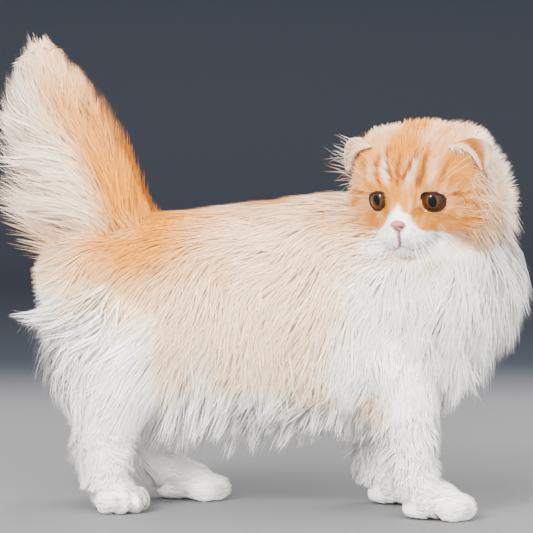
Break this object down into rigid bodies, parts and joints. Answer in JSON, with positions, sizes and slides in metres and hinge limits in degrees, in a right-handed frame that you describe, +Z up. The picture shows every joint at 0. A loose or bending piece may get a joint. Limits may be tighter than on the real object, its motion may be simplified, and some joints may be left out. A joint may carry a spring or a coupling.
{
  "type": "long-haired fold-eared cat",
  "caption": "Standing long-haired fold-eared cat, tail raised, head turned back over its right side, with a ruff, feathered belly and plumed tail.",
  "frame": {"origin": "middle of the box round the whole cat, on the floor under its paws", "axes": "+X the way the body faces, from tail to chest; +Y the cat's left; +Z up"},
  "size_m": [0.4006, 0.1496, 0.3534],
  "materials": {
    "coat_white": "long soft white hair",
    "coat_cream": "long soft cream hair",
    "coat_ginger": "soft ginger hair, short on the face",
    "eye": "wet, amber brown round a dark pupil",
    "nose_skin": "pink, slightly damp"
  },
  "bodies": {
    "root": {"head": "coat_ginger", "ear_left": "coat_ginger", "ear_right": "coat_ginger", "eye_left": "eye", "eye_right": "eye", "nose": "nose_skin", "neck": "coat_white", "torso": "coat_cream", "tail_root": "coat_ginger", "tail_middle": "coat_cream", "tail_tip": "coat_cream", "upper_arm_left": "coat_cream", "upper_arm_right": "coat_cream", "forearm_left": "coat_white", "forearm_right": "coat_white", "fore_paw_left": "coat_white", "fore_paw_right": "coat_white", "thigh_left": "coat_white", "thigh_right": "coat_white", "shank_left": "coat_white", "shank_right": "coat_white", "hind_paw_left": "coat_white", "hind_paw_right": "coat_white"}
  },
  "joints": []
}
